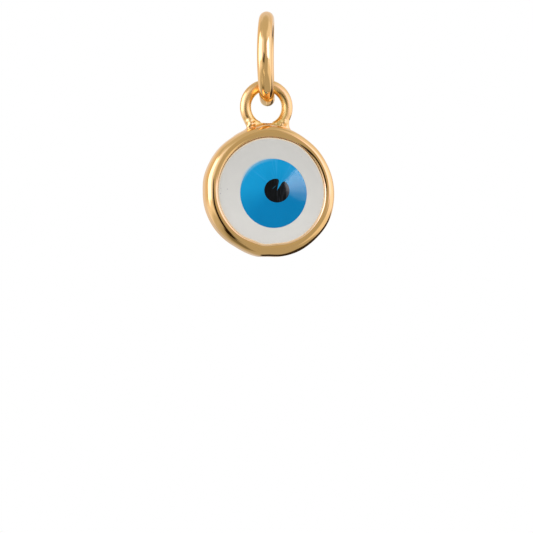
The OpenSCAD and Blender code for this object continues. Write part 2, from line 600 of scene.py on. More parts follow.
@dataclass
class BezelCup:
    """The cup with its rolled rim, its wire loop and the solder between them, as one solid."""

    frame: DropFrame
    profile: CupProfile
    loop_x: float = -0.052
    loop_up: float = 5.362
    loop_h: float = 0.65
    loop_radius: float = 1.353
    loop_tall: float = 1.026
    wire_radius: float = 0.355
    solder_t: float = 0.60
    solder_beyond_loop: float = 0.3
    solder_hollow: float = 0.25
    solder_fade: float = 0.3
    side_fade: tuple[float, float] = (1.9, 3.0)
    upper_fade: tuple[float, float] = (4.3, 4.9)
    inner_fade: tuple[float, float] = (3.2, 1.8)
    flare_change: tuple[float, float] = (-0.5, 0.5)
    flare_left: float = 0.62
    flare_right: float = 1.05
    mouth_half: float = 0.42
    mouth_floor: float = 4.34
    mouth_tall: float = 0.4
    mouth_corner: float = 0.08
    ripple: float = 0.003
    ripple_waves: tuple[tuple[float, float, float], ...] = ((1.0, 5.0, 40.0), (0.6, 11.0, 0.0))
    ripple_start: tuple[float, float] = (3.3, 3.6)
    hole_seam: float = 0.05
    web_seam: float = 0.12
    mouth_seam: float = 0.04
    lump_seam: float = 0.10
    cup_seam: float = 0.16
    lip_width: float = 0.09
    lip_ease: float = 0.03
    lip_height: tuple[float, float] = (1.85, 1.93)
    lumps: tuple[SolderLump, ...] = (
        SolderLump(-1.18, 4.42, 0.90, 0.17),
        SolderLump(-1.12, 4.22, 0.98, 0.16),
        SolderLump(-0.92, 4.27, 0.95, 0.13),
        SolderLump(-1.22, 4.08, 0.95, 0.16),
        SolderLump(1.03, 4.38, 0.90, 0.17),
        SolderLump(0.86, 4.22, 0.94, 0.14),
        SolderLump(0.62, 4.30, 0.90, 0.11),
    )

    def _from_loop(self, x: Array, y: Array) -> Array:
        """Return the distance from the loop's middle, less above and below it, where it is taller."""
        return np.hypot(x - self.loop_x, (y - self.loop_up) / self.loop_tall)

    def _solder(self, x: Array, y: Array, h: Array, angle: Array) -> Array:
        """Return the field of the solder web between the loop's feet.

        Args:
            x: To the right of the cup's axis.
            y: Above the cup's axis.
            h: In front of the cup's back.
            angle: Angle round the cup's axis in degrees.

        Returns:
            The field, negative inside.
        """
        from_loop = self._from_loop(x, y)
        to_right = smooth_step(*self.flare_change, x - self.loop_x)
        reach = self.flare_left + (self.flare_right - self.flare_left) * to_right
        cup = np.hypot(x, y) - self.profile.radius - self.profile.outline_wave(angle)
        outline = melt(from_loop - self.loop_radius - self.solder_beyond_loop, cup, reach)
        outline = carve(outline, from_loop - self.loop_radius + self.wire_radius, self.hole_seam)
        outline += self.solder_fade * smooth_step(*self.side_fade, np.abs(x - self.loop_x))
        outline += self.solder_fade * smooth_step(*self.upper_fade, y)
        outline += smooth_step(*self.inner_fade, y)
        return carve(outline, self.solder_t / 2.0 - np.abs(h - self.loop_h), self.solder_hollow)

    def _mouth(self, x: Array, y: Array) -> Array:
        """Return the field of the flat-bottomed part of the loop's hole, where the wire's ends meet."""
        half, corner = self.mouth_tall / 2.0, self.mouth_corner
        side = np.abs(x - self.loop_x) - self.mouth_half
        upright = np.abs(y - self.mouth_floor - half) - half
        return np.hypot(np.maximum(side + corner, 0.0), np.maximum(upright + corner, 0.0)) - corner

    def field(self, x: Array, y: Array, h: Array) -> Array:
        """Return the whole solid's field.

        Args:
            x: To the right of the cup's axis, in millimetres.
            y: Above the cup's axis.
            h: In front of the cup's back.

        Returns:
            The field, negative inside.
        """
        r, angle = np.hypot(x, y), np.degrees(np.arctan2(y, x))
        solid = self.profile.outer(r, angle, h)
        waves = sum(
            high * np.sin(np.radians(many * angle + shift)) for high, many, shift in self.ripple_waves
        )
        solid += self.ripple * (1.0 + waves) * smooth_step(*self.ripple_start, r)
        loop = np.hypot(self._from_loop(x, y) - self.loop_radius, h - self.loop_h)
        metal = melt(loop - self.wire_radius, self._solder(x, y, h, angle), self.web_seam)
        metal = carve(metal, self._mouth(x, y), self.mouth_seam)
        for lump in self.lumps:
            ball = np.sqrt((x - lump.x) ** 2 + (y - lump.y) ** 2 + (h - lump.h) ** 2)
            metal = melt(metal, ball - lump.radius, self.lump_seam)
        solid = melt(solid, metal, self.cup_seam)
        return cut_round(solid, self.profile.pocket(r, angle, h), self.profile.edge_round)

    def _grid(self) -> NetMesher:
        """Return a grid that is fine at the loop, the rim and its edge."""
        loop_sector = np.linspace(71.0, 109.0, 104)
        rest = np.linspace(109.0, 431.0, 298)[1:-1]
        radii = ((1.6, 3.2, 5), (3.2, 3.64, 22), (3.64, 4.32, 25), (4.32, 7.2, 64))
        heights = ((-0.04, 1.80, 37), (1.80, 2.16, 19))
        radii, heights = (
            np.concatenate([[spans[0][0]], *(np.linspace(*span)[1:] for span in spans)])
            for spans in (radii, heights)
        )
        return NetMesher(radii, np.radians(np.concatenate([loop_sector, rest])), heights)

    def _lip(self, corners: Array) -> Array:
        """Return a mark at each corner: 1 on the rim's inner edge, 0 elsewhere."""
        x, y, h = corners.T
        beyond = self.profile.beyond_opening(x, y)
        near = smooth_step(self.lip_width + self.lip_ease, self.lip_width - self.lip_ease, beyond)
        return near * smooth_step(*self.lip_height, h)

    def build(self) -> Object:
        """Make the cup's mesh in its place, with its lip marked."""
        shell = self._grid().mesh(self.field)
        shell.marks[LIP] = self._lip(shell.corners)
        return shell.to_object("gold_cup_and_loop", self.frame.place())


@dataclass
class EyeStone:
    """The stone: a flat white cabochon, and a low blue cone with a black spot let into it."""

    frame: DropFrame
    profile: CupProfile
    points: int = 288
    clearance: float = 0.03
    seam: float = 0.004
    under: float = 0.02
    back_h: float = 0.43
    side_h: float = 1.58
    neck_h: float = 1.86
    face_h: float = 1.975
    back_middle: float = 1.6
    hole_middle: float = 0.5
    disc_middle: float = 0.6
    hollow_middle: float = 0.05
    spot_middle: float = 0.02
    white_loops: int = 24
    blue_loops: int = 40
    black_loops: int = 16
    hole_loops: int = 3
    hollow_loops: int = 4
    neck_in_rim: float = 0.010
    glow_reach: float = 0.07
    iris_x: float = 0.135
    iris_y: float = -0.225
    iris_r: float = 2.152
    iris_tall: float = 1.018
    iris_floor: float = 1.645
    cone_rise: float = 0.30
    tip_ease: float = 1.05
    pupil_x: float = 0.314
    pupil_y: float = -0.055
    pupil_r: float = 0.765
    pupil_wide: float = 1.07
    pupil_floor: float = 1.895
    middle_away: float = 0.2
    notch_turn: float = 68.6
    notch_angle: float = 18.3
    notch_past: float = 0.02
    corner_ease: float = 0.09
    left_ease: float = 0.15
    left_reach: tuple[float, float] = (0.5, 0.2)
    tip_keep: tuple[float, float] = (0.05, 0.3)

    def cone_height(self, x: Array, y: Array) -> Array:
        """Return the face's height over the blue disc: a low cone that leans to the black spot.

        Args:
            x: To the right of the cup's axis.
            y: Above the cup's axis.

        Returns:
            The height above the cup's back, in millimetres.
        """
        dx, dy = x - self.pupil_x, y - self.pupil_y
        share = np.hypot(dx, dy) / self._to_iris_edge(self.pupil_x, self.pupil_y, np.arctan2(dy, dx))
        ease = self.tip_ease / self.iris_r
        rounded = np.where(share < ease, (share**2 + ease**2) / (2.0 * ease), share)
        return self.face_h + self.cone_rise * (1.0 - np.minimum(rounded, 1.0))

    def _to_iris_edge(self, x: float, y: float, angles: Array) -> Array:
        """Return how far the blue disc's edge lies from a point in each direction."""
        way_x, way_y = np.cos(angles), np.sin(angles) / self.iris_tall
        off_x, off_y = x - self.iris_x, (y - self.iris_y) / self.iris_tall
        square = way_x**2 + way_y**2
        along = (way_x * off_x + way_y * off_y) / square
        return -along + np.sqrt(along**2 + (self.iris_r**2 - off_x**2 - off_y**2) / square)

    def _oval(self, radius: float, h: float, angles: Array) -> Array:
        """Return a loop of points round the blue disc's middle, a little taller than wide."""
        loop = self._circle(self.iris_x, self.iris_y, radius, h, angles)
        loop[:, 1] = self.iris_y + (loop[:, 1] - self.iris_y) * self.iris_tall
        return loop

    def _circle(self, x: float, y: float, radius: Array | float, h: float, angles: Array) -> Array:
        """Return a loop of points on a circle."""
        return self._raised(np.stack([x + radius * np.cos(angles), y + radius * np.sin(angles)], axis=1), h)

    @staticmethod
    def _raised(outline: Array, h: Array | float) -> Array:
        """Return a loop of points from x and y rows and their height."""
        return np.column_stack([outline, np.broadcast_to(h, len(outline))])

    def _pupil_outline(self, grow: float) -> Array:
        """Return the black spot's outline with its notch, corners eased, as x and y rows.

        Args:
            grow: How far the outline is moved outwards.

        Returns:
            As many points as every other loop of the stone has, spread evenly.
        """
        half = math.radians(self.notch_angle) / 2.0
        rim = self.pupil_r + grow
        notch = np.array([1.0, 0.0]) * (grow / math.sin(half) - self.notch_past)
        mouth = math.asin(min(0.9, math.sin(half) * (rim - notch[0]) / rim))
        arc = np.linspace(mouth, 2.0 * math.pi - mouth, 400)
        round_part = rim * np.stack([np.cos(arc), np.sin(arc)], axis=1)
        inwards = np.linspace(0.0, 1.0, 120)[1:, None]
        leg_in = round_part[-1] + (notch - round_part[-1]) * inwards
        leg_out = notch + (round_part[0] - notch) * inwards[:-1]
        path = self._spread(np.vstack([round_part, leg_in, leg_out]), 8 * self.points)
        from_tip, from_left = (np.linalg.norm(path - p, axis=1)[:, None] for p in (notch, round_part[0]))
        eased = self._eased(path, self.corner_ease)
        eased += (self._eased(path, self.left_ease) - eased) * smooth_step(*self.left_reach, from_left)
        path = path + (eased - path) * smooth_step(*self.tip_keep, from_tip)
        path = self._spread(path, self.points)
        turn = math.radians(self.notch_turn)
        spin = np.array([[math.cos(turn), math.sin(turn)], [-math.sin(turn), math.cos(turn)]])
        return (path @ spin) * np.array([self.pupil_wide, 1.0]) + np.array([self.pupil_x, self.pupil_y])

    @staticmethod
    def _eased(path: Array, ease: float) -> Array:
        """Return a closed path of evenly spread points with its corners rounded by about the ease given."""
        reach = max(1, int(ease / np.linalg.norm(path[1] - path[0])))
        weights = np.exp(-0.5 * (np.arange(-3 * reach, 3 * reach + 1) / reach) ** 2)
        padded = np.vstack([path[-3 * reach :], path, path[: 3 * reach]])
        return np.stack([np.convolve(padded[:, k], weights / weights.sum(), "valid") for k in (0, 1)], axis=1)

    @staticmethod
    def _spread(path: Array, count: int) -> Array:
        """Return count points spread evenly along a closed path."""
        closed = np.vstack([path, path[:1]])
        run = np.concatenate([[0.0], np.cumsum(np.linalg.norm(np.diff(closed, axis=0), axis=1))])
        at = np.linspace(0.0, run[-1], count + 1)[:-1]
        return np.stack([np.interp(at, run, closed[:, k]) for k in (0, 1)], axis=1)

    def _from_middle(self, outline: Array) -> tuple[float, float, Array]:
        """Find a point from which the black spot's whole outline is in view.

        Args:
            outline: The outline's x and y rows.

        Returns:
            The point's x and y, and the direction of each of the outline's points from it.
        """
        away = math.radians(self.notch_turn + 180.0)
        x = self.pupil_x + self.middle_away * math.cos(away)
        y = self.pupil_y + self.middle_away * math.sin(away)
        return x, y, np.arctan2(outline[:, 1] - y, outline[:, 0] - x)

    def build_white(self) -> Object:
        """Make the white cabochon, which fills the cup up to the rim's edge, with its edge marked for its
        painted glow.
        """
        angles = even_angles(self.points)
        side = self.profile.pocket_radius - self.clearance
        neck = self.profile.opening_radius + self.profile.opening_wave(np.degrees(angles)) + self.neck_in_rim
        hole, bottom = self.iris_r + self.seam, self.iris_floor - self.under
        rising = (
            (self.back_middle, self.back_h),
            (side, self.back_h),
            (side, self.side_h),
            (neck, self.neck_h),
            (neck, self.face_h),
        )
        stack = RingStack([self._circle(0.0, 0.0, radius, h, angles) for radius, h in rising])
        stack.blend_to(self._oval(hole, self.face_h, angles), self.white_loops)
        stack.add(self._oval(hole, bottom, angles))
        stack.blend_to(self._oval(self.hole_middle, bottom, angles), self.hole_loops)
        shell = stack.to_shell()
        beyond = self.profile.beyond_opening(shell.corners[:, 0], shell.corners[:, 1])
        shell.marks[LIP] = smooth_step(-self.glow_reach, 0.0, beyond)
        return shell.to_object("white_cabochon", self.frame.place())

    def build_iris(self) -> Object:
        """Make the blue disc with its low cone and the hollow for the black spot."""
        hollow = self._pupil_outline(self.seam)
        x, y, angles = self._from_middle(hollow)
        to_edge = self._to_iris_edge(x, y, angles)
        rising = (
            (self.disc_middle, self.iris_floor),
            (to_edge, self.iris_floor),
            (to_edge, self.face_h),
        )
        stack = RingStack([self._circle(x, y, radius, h, angles) for radius, h in rising])
        lip = self._raised(hollow, self.cone_height(*hollow.T))
        stack.blend_to(lip, self.blue_loops, self.cone_height)
        stack.add(self._raised(hollow, self.pupil_floor))
        middle = self._circle(x, y, self.hollow_middle, self.pupil_floor, angles)
        stack.blend_to(middle, self.hollow_loops)
        return stack.to_shell().to_object("blue_disc", self.frame.place())

    def build_pupil(self) -> Object:
        """Make the black spot."""
        outline = self._pupil_outline(0.0)
        x, y, angles = self._from_middle(outline)
        floor = self.pupil_floor + self.under
        stack = RingStack([self._circle(x, y, self.spot_middle, floor, angles)])
        stack.add(self._raised(outline, floor), self._raised(outline, self.cone_height(*outline.T)))
        middle = self._circle(x, y, self.spot_middle, 0.0, angles)
        stack.blend_to(middle, self.black_loops, self.cone_height)
        return stack.to_shell().to_object("black_spot", self.frame.place())


@dataclass
class JumpRing:
    """The closed round-wire ring that a chain runs through, bent a little sideways."""

    wire_radius: float = 0.4725
    mean_radius: float = 2.5475
    below: float = 2.075
    aside: float = -0.0065
    lean: float = 0.0165
    bow: float = -0.0965
    thinned: float = 0.003
    thinned_from: float = 0.6
    around: int = 288
    across: int = 64

    def place(self) -> Matrix:
        """Return the ring's place: its axis along +X, its inner top at the origin."""
        lift = Matrix.Translation(Vector((0.0, 0.0, -self.below * MM)))
        return lift @ Matrix.Rotation(math.radians(90.0), 4, "Y")

    def build(self) -> Object:
        """Make the ring's mesh, its wire a little uneven where it was bent and closed."""
        turn, roll = np.meshgrid(even_angles(self.around), even_angles(self.across), indexing="ij")
        wire = self.wire_radius * (1.0 - self.thinned * (1.0 + np.cos(3.0 * turn + self.thinned_from)))
        r = self.mean_radius + wire * np.cos(roll)
        sideways = self.aside + self.lean * np.cos(turn) + self.bow * np.sin(turn) ** 2
        corners = np.stack([r * np.cos(turn), r * np.sin(turn), wire * np.sin(roll) + sideways], axis=-1)
        normals = np.stack([np.cos(roll) * np.cos(turn), np.cos(roll) * np.sin(turn), np.sin(roll)], axis=-1)
        number = np.arange(self.around * self.across).reshape(self.around, self.across)
        there, ahead = np.roll(number, -1, axis=0), np.roll(number, -1, axis=1)
        faces = np.stack([number, there, np.roll(there, -1, axis=1), ahead], axis=-1).reshape(-1, 4).tolist()
        shell = Shell(corners.reshape(-1, 3), faces, normals.reshape(-1, 3))
        return shell.to_object("gold_jump_ring", self.place())


# Finishes


class Bench:
    """Adds nodes to one tree and joins them."""

    def __init__(self, tree: Tree) -> None:
        """Keep the tree that the nodes go into."""
        self.tree = tree

    def add(self, kind: str, inputs: dict[str | int, object] | None = None, **settings: object) -> Node:
        """Add one node.

        Args:
            kind: Blender's name of the node type.
            inputs: What goes into its sockets: another node's output, or a plain value.
            settings: The node's own settings.

        Returns:
            The new node.
        """
        node = self.tree.nodes.new(kind)
        for name, value in settings.items():
            setattr(node, name, value)
        self.join(node, inputs or {})
        return node

    def join(self, node: Node, inputs: dict[str | int, object]) -> None:
        """Link or set a node's sockets.

        Args:
            node: The node.
            inputs: What goes into its sockets: another node's output, or a plain value.
        """
        for name, value in inputs.items():
            if isinstance(value, Socket):
                self.tree.links.new(value, node.inputs[name])
            else:
                node.inputs[name].default_value = value

    def place(self, group: Tree, inputs: dict[str, object], **settings: object) -> Sockets:
        """Add a shared effect with values of its own and return its outputs."""
        return self.add("ShaderNodeGroup", inputs, node_tree=group, **settings).outputs

    def math(self, operation: str, *terms: object, clamp: bool = False) -> Socket:
        """Add a sum of up to three terms and return its result."""
        node = self.add("ShaderNodeMath", dict(enumerate(terms)), operation=operation, use_clamp=clamp)
        return node.outputs[0]

    def ramp(self, value: object, low: object, high: object, out: tuple[float, float] = (0.0, 1.0)) -> Socket:
        """Add a smooth rise of a value from low to high and return its result."""
        node = self.add(
            "ShaderNodeMapRange",
            {"Value": value, "From Min": low, "From Max": high, "To Min": out[0], "To Max": out[1]},
            interpolation_type="SMOOTHSTEP",
        )
        return node.outputs["Result"]

    def mix(self, share: object, a: object, b: object, blend: str = "MIX") -> Socket:
        """Add a mix of two colours and return its result."""
        node = self.add("ShaderNodeMix", data_type="RGBA", blend_type=blend)
        for name, value in {"Factor_Float": share, "A_Color": a, "B_Color": b}.items():
            socket = next(s for s in node.inputs if s.identifier == name)
            if isinstance(value, Socket):
                self.tree.links.new(value, socket)
            else:
                opaque = isinstance(value, tuple) and len(value) == 3
                socket.default_value = (*value, 1.0) if opaque else value
        return next(s for s in node.outputs if s.identifier == "Result_Color")

    def split(self, vector: Socket) -> Sockets:
        """Add a split of a vector and return its x, y and z."""
        return self.add("ShaderNodeSeparateXYZ", {0: vector}).outputs

    def pack(self, x: object, y: object, z: object) -> Socket:
        """Add a vector of three numbers, which may also be a colour, and return it."""
        return self.add("ShaderNodeCombineXYZ", {0: x, 1: y, 2: z}).outputs[0]

    def noise(self, vector: Socket, scale: object, detail: float, distortion: float = 0.0) -> Socket:
        """Add a cloudy noise and return its value."""
        inputs = {"Vector": vector, "Scale": scale, "Detail": detail, "Distortion": distortion}
        return self.add("ShaderNodeTexNoise", inputs).outputs[0]

    def bump(self, height: Socket, strength: float, distance: float) -> Socket:
        """Add a bump of the surface and return its normal."""
        inputs = {"Height": height, "Strength": strength, "Distance": distance}
        return self.add("ShaderNodeBump", inputs).outputs[0]

    def length(self, x: Socket, y: Socket) -> Socket:
        """Add the length of a flat vector and return it."""
        return self.math("SQRT", self.math("MULTIPLY_ADD", x, x, self.math("MULTIPLY", y, y)))

    def turned(self, x: Socket, y: Socket, degrees: Socket) -> tuple[Socket, Socket]:
        """Add x and y of a flat vector as seen from axes that are turned, and return them."""
        turn = self.math("RADIANS", degrees)
        cosine, sine = self.math("COSINE", turn), self.math("SINE", turn)
        along = self.math("MULTIPLY_ADD", x, cosine, self.math("MULTIPLY", y, sine))
        return along, self.math("SUBTRACT", self.math("MULTIPLY", y, cosine), self.math("MULTIPLY", x, sine))

    def from_centre(self, given: Sockets) -> tuple[Socket, Socket]:
        """Add x and y of a group's vector, counted from its centre sockets, and return them."""
        x, y, _ = self.split(given["Vector"])
        return self.math("SUBTRACT", x, given["Centre X"]), self.math("SUBTRACT", y, given["Centre Y"])


def new_group(name: str, inputs: dict[str, float | None], *outputs: str) -> tuple[Bench, Sockets, Node]:
    """Start a shader node group with named sockets.

    Args:
        name: The group's name.
        inputs: Each input's first value, or None for a vector.
        outputs: The names of the numbers that the group puts out.

    Returns:
        The bench of the group's tree, the sockets that its inputs come from, and its output node.
    """
    tree = bpy.data.node_groups.new(name, "ShaderNodeTree")
    for label, value in inputs.items():
        kind = "NodeSocketVector" if value is None else "NodeSocketFloat"
        socket = tree.interface.new_socket(name=label, in_out="INPUT", socket_type=kind)
        if value is not None:
            socket.default_value = value
    for label in outputs:
        tree.interface.new_socket(name=label, in_out="OUTPUT", socket_type="NodeSocketFloat")
    bench = Bench(tree)
    return bench, bench.add("NodeGroupInput").outputs, bench.add("NodeGroupOutput")


def build_polish() -> Tree:
    """Build the fine lines and slow ripple that polishing leaves."""
    inputs = {"Vector": None, "Line Scale": 9.0, "Stretch": 0.06, "Ripple Scale": 0.9, "Ripple": 0.5}
    bench, given, end = new_group("polish_lines", inputs, "Height", "Lines")
    lines: object = 0.0
    for angle in (0.35, -0.8, 1.35):
        turned = bench.add(
            "ShaderNodeVectorRotate",
            {"Vector": given["Vector"], "Angle": angle, "Axis": (0.3, 0.4, 0.86)},
            rotation_type="AXIS_ANGLE",
        )
        x, y, z = bench.split(turned.outputs[0])
        squeezed = bench.pack(bench.math("MULTIPLY", x, given["Stretch"]), y, z)
        fine = bench.ramp(bench.noise(squeezed, given["Line Scale"], 3.0), 0.58, 0.78)
        lines = bench.math("MAXIMUM", lines, fine)
    ripple = bench.noise(given["Vector"], given["Ripple Scale"], 2.0)
    height = bench.math("MULTIPLY_ADD", ripple, given["Ripple"], bench.math("MULTIPLY", lines, -0.06))
    bench.join(end, {"Height": height, "Lines": lines})
    return bench.tree


def build_mottle() -> Tree:
    """Build the soft cloudy change of tone in plating and in cast resin."""
    bench, given, end = new_group("soft_mottle", {"Vector": None, "Scale": 0.5, "Contrast": 1.0}, "Value")
    centred = bench.math("SUBTRACT", bench.noise(given["Vector"], given["Scale"], 4.0, 0.6), 0.5)
    bench.join(end, {"Value": bench.math("MULTIPLY_ADD", centred, given["Contrast"], 0.5, clamp=True)})
    return bench.tree


def build_specks() -> Tree:
    """Build tiny scattered specks of dust."""
    inputs = {"Vector": None, "Scale": 0.9, "Size": 0.08, "Share": 0.1}
    bench, given, end = new_group("dust_specks", inputs, "Mask")
    cells = bench.add("ShaderNodeTexVoronoi", {"Vector": given["Vector"], "Scale": given["Scale"]}).outputs
    apart = bench.math("DIVIDE", cells["Distance"], given["Size"])
    near = bench.math("SUBTRACT", 1.0, apart, clamp=True)
    chosen = bench.add("ShaderNodeSeparateColor", {0: cells["Color"]}).outputs[0]
    some = bench.math("LESS_THAN", chosen, given["Share"])
    fuller = bench.math("ADD", near, bench.math("MULTIPLY", given["Size"], 0.5), clamp=True)
    solid = bench.math("MULTIPLY", bench.math("MULTIPLY", fuller, some), near)
    bench.join(end, {"Mask": bench.ramp(solid, 0.02, 0.35)})
    return bench.tree


def build_spot() -> Tree:
    """Build one soft oval spot at a place of its own."""
    centre = {"Vector": None, "Centre X": 0.0, "Centre Y": 0.0}
    inputs = {**centre, "Turn": 0.0, "Half Length": 0.1, "Half Width": 0.1, "Softness": 0.5}
    bench, given, end = new_group("soft_spot", inputs, "Mask")
    along, aside = bench.turned(*bench.from_centre(given), given["Turn"])
    share = bench.length(
        bench.math("DIVIDE", along, given["Half Length"]), bench.math("DIVIDE", aside, given["Half Width"])
    )
    outer, inner = (bench.math(sign, 1.0, given["Softness"]) for sign in ("ADD", "SUBTRACT"))
    bench.join(end, {"Mask": bench.ramp(share, outer, inner)})
    return bench.tree


def build_sector() -> Tree:
    """Build a sector round a centre, with soft sides, and the distance from that centre."""
    centre = {"Vector": None, "Centre X": 0.0, "Centre Y": 0.0}
    inputs = {**centre, "Direction": 0.0, "Full": 30.0, "Reach": 60.0}
    bench, given, end = new_group("soft_sector", inputs, "Mask", "Radius")
    across, up = bench.from_centre(given)
    angle = bench.math("DEGREES", bench.math("ARCTAN2", up, across))
    apart = bench.math("WRAP", bench.math("SUBTRACT", angle, given["Direction"]), 180.0, -180.0)
    mask = bench.ramp(bench.math("ABSOLUTE", apart), given["Reach"], given["Full"])
    bench.join(end, {"Mask": mask, "Radius": bench.length(across, up)})
    return bench.tree


def build_rays() -> Tree:
    """Build fine rays that run out from a centre."""
    inputs = {"Vector": None, "Centre X": 0.0, "Centre Y": 0.0, "Scale": 12.0, "Drift": 0.35}
    bench, given, end = new_group("fine_rays", inputs, "Mask")
    ways = bench.from_centre(given)
    radius = bench.math("MAXIMUM", bench.length(*ways), 0.01)
    across, up = (bench.math("MULTIPLY", bench.math("DIVIDE", w, radius), given["Scale"]) for w in ways)
    noise = bench.noise(bench.pack(across, up, bench.math("MULTIPLY", radius, given["Drift"])), 1.0, 2.0)
    bench.join(end, {"Mask": bench.ramp(noise, 0.55, 0.75)})
    return bench.tree


@dataclass
class Effects:
    """The effects that several finishes share, each a node group that is built once."""

    polish: Tree = field(default_factory=build_polish)
    mottle: Tree = field(default_factory=build_mottle)
    specks: Tree = field(default_factory=build_specks)
    spot: Tree = field(default_factory=build_spot)
    sector: Tree = field(default_factory=build_sector)
    rays: Tree = field(default_factory=build_rays)


@dataclass(frozen=True)
class Spot:
    """One small oval mark, in the drop's own millimetres."""

    x: float
    y: float
    turn: float
    half_length: float
    half_width: float
    softness: float = 0.5

    def mask(self, bench: Bench, effects: Effects, own: Socket) -> Socket:
        """Place the mark in a material.

        Args:
            bench: The material's bench.
            effects: The shared effects.
            own: The drop's own coordinates.

        Returns:
            The mask, 1 in the middle of the mark.
        """
        inputs = {"Vector": own, "Centre X": self.x, "Centre Y": self.y, "Turn": self.turn}
        size = {"Half Length": self.half_length, "Half Width": self.half_width, "Softness": self.softness}
        return bench.place(effects.spot, {**inputs, **size})["Mask"]


def all_marks(bench: Bench, effects: Effects, own: Socket, spots: Sequence[Spot]) -> object:
    """Return one mask for several marks.

    Args:
        bench: The material's bench.
        effects: The shared effects.
        own: The drop's own coordinates.
        spots: The marks.

    Returns:
        The mask, 1 in the middle of each mark.
    """
    mask: object = 0.0
    for spot in spots:
        mask = bench.math("MAXIMUM", mask, spot.mask(bench, effects, own))
    return mask


@dataclass(frozen=True)
class Finish:
    """A finish, under the name of its material."""

    name: str

    def _own(self, bench: Bench) -> Socket:
        """Return the coordinates that the finish is laid out in."""
        return bench.add("ShaderNodeTexCoord").outputs["Object"]

    def _fill(self, bench: Bench, own: Socket, effects: Effects) -> dict[str, object]:
        """Lay out the finish.

        Args:
            bench: The material's bench.
            own: The coordinates that the finish is laid out in.
            effects: The shared effects.

        Returns:
            What goes into the sockets of the Principled shader.
        """
        raise NotImplementedError

    def material(self, effects: Effects) -> bpy.types.Material:
        """Return the finish's material, which is built when it is first wanted."""
        if self.name in bpy.data.materials:
            return bpy.data.materials[self.name]
        material = bpy.data.materials.new(self.name)
        material.use_nodes = True
        material.node_tree.nodes.clear()
        bench = Bench(material.node_tree)
        shader = bench.add("ShaderNodeBsdfPrincipled")
        bench.add("ShaderNodeOutputMaterial", {"Surface": shader.outputs[0]})
        bench.join(shader, self._fill(bench, self._own(bench), effects))
        return material


@dataclass(frozen=True)
class PaperFinish(Finish):
    """Pale paper with a fine grain."""

    grain_scale: float = 900.0
    tones: tuple[float, float] = (0.90, 0.93)

    def _fill(self, bench: Bench, own: Socket, effects: Effects) -> dict[str, object]:
        """Lay out the paper."""
        tone = bench.ramp(bench.noise(own, self.grain_scale, 4.0), 0.3, 0.7, self.tones)
        return {"Base Color": bench.pack(tone, tone, tone), "Roughness": 0.9}


@dataclass(frozen=True)
class PieceFinish(Finish):
    """A finish of a piece: its slot in the record and its plain colour, laid out in the drop's frame."""

    slot: Slot
    colour: Colour

    def _own(self, bench: Bench) -> Socket:
        """Return the drop's own coordinates."""
        place = DropFrame().place()
        inputs = {"Location": place.translation, "Rotation": place.to_euler(), "Scale": (MM, MM, MM)}
        inputs["Vector"] = super()._own(bench)
        return bench.add("ShaderNodeMapping", inputs, vector_type="TEXTURE").outputs[0]

    def dress(self, piece: Object, effects: Effects) -> None:
        """Give a piece this finish."""
        piece.data.materials.clear()
        piece.data.materials.append(self.material(effects))


@dataclass(frozen=True)
class GoldFinish(PieceFinish):
    """Polished gold plating, with the faint ripple and hairlines of a hand-finished casting."""

    # Where the painted reflection tint goes: inside the loop, behind the rim
    REFLECTION_TINT_SPOT: ClassVar[Spot] = Spot(-0.05, 5.25, 0.0, 1.30, 1.30, 0.12)
    LOOP: ClassVar[Spot] = Spot(-0.05, 5.60, 0.0, 1.75, 1.60, 0.10)
    deep_colour: Colour = (0.90, 0.54, 0.19)
    # Painted reflection tint: paler gold that softens the loop's orange inter-reflections
    painted_reflection_colour: Colour = (0.93, 0.625, 0.20)
    # Painted highlight: the bright warm gold along the rim's inner edge
    painted_lip_highlight_colour: Colour = (1.0, 0.70, 0.40)
    roughness: float = 0.06
    lip_roughness: float = 0.22
    loop_roughness: float = 0.17
    ripple: float = 0.35
    nicks: tuple[Spot, ...] = (
        Spot(0.32, -3.79, 75.0, 0.10, 0.035),
        Spot(1.10, -3.74, 20.0, 0.07, 0.030),
        Spot(1.20, -3.66, -40.0, 0.05, 0.020),
        Spot(-0.60, -3.72, 8.0, 0.30, 0.020),
        Spot(2.92, 2.52, -38.0, 0.06, 0.020),
        Spot(-3.05, 2.18, 48.0, 0.10, 0.030),
    )

    def _fill(self, bench: Bench, own: Socket, effects: Effects) -> dict[str, object]:
        """Lay out the gold: deeper patches, paler gold inside the loop as a painted reflection tint, the
        loop's duller metal, the lip's painted highlight and the nicks.
        """
        mottle = bench.place(effects.mottle, {"Vector": own, "Scale": 0.7, "Contrast": 1.2})["Value"]
        polish = bench.place(effects.polish, {"Vector": own, "Ripple": self.ripple})
        specks = bench.place(effects.specks, {"Vector": own, "Scale": 2.6, "Size": 0.16, "Share": 0.05})
        nicks = all_marks(bench, effects, own, self.nicks)
        lip = bench.add("ShaderNodeAttribute", attribute_name=LIP).outputs["Fac"]
        behind_rim = bench.ramp(bench.split(own)[2], 1.4, 1.0)
        inside_loop, at_loop = (
            bench.math("MULTIPLY", spot.mask(bench, effects, own), behind_rim)
            for spot in (self.REFLECTION_TINT_SPOT, self.LOOP)
        )
        colour = bench.mix(bench.ramp(mottle, 0.3, 0.8, (0.0, 0.25)), self.colour, self.deep_colour)
        # Painted reflection tint inside the loop
        colour = bench.mix(inside_loop, colour, self.painted_reflection_colour)
        # Painted highlight along the rim's inner edge
        colour = bench.mix(lip, colour, self.painted_lip_highlight_colour)
        rough: object = self.roughness
        for share, more in (
            (mottle, 0.05),
            (polish["Lines"], 0.06),
            (specks["Mask"], 0.25),
            (at_loop, self.loop_roughness),
            (lip, self.lip_roughness),
            (nicks, 0.10),
        ):
            rough = bench.math("MULTIPLY_ADD", share, more, rough)
        height = bench.math("MULTIPLY_ADD", nicks, -0.5, polish["Height"])
        normal = bench.bump(height, 0.12, 0.00004)
        return {"Base Color": colour, "Roughness": rough, "Normal": normal, "Metallic": 1.0}


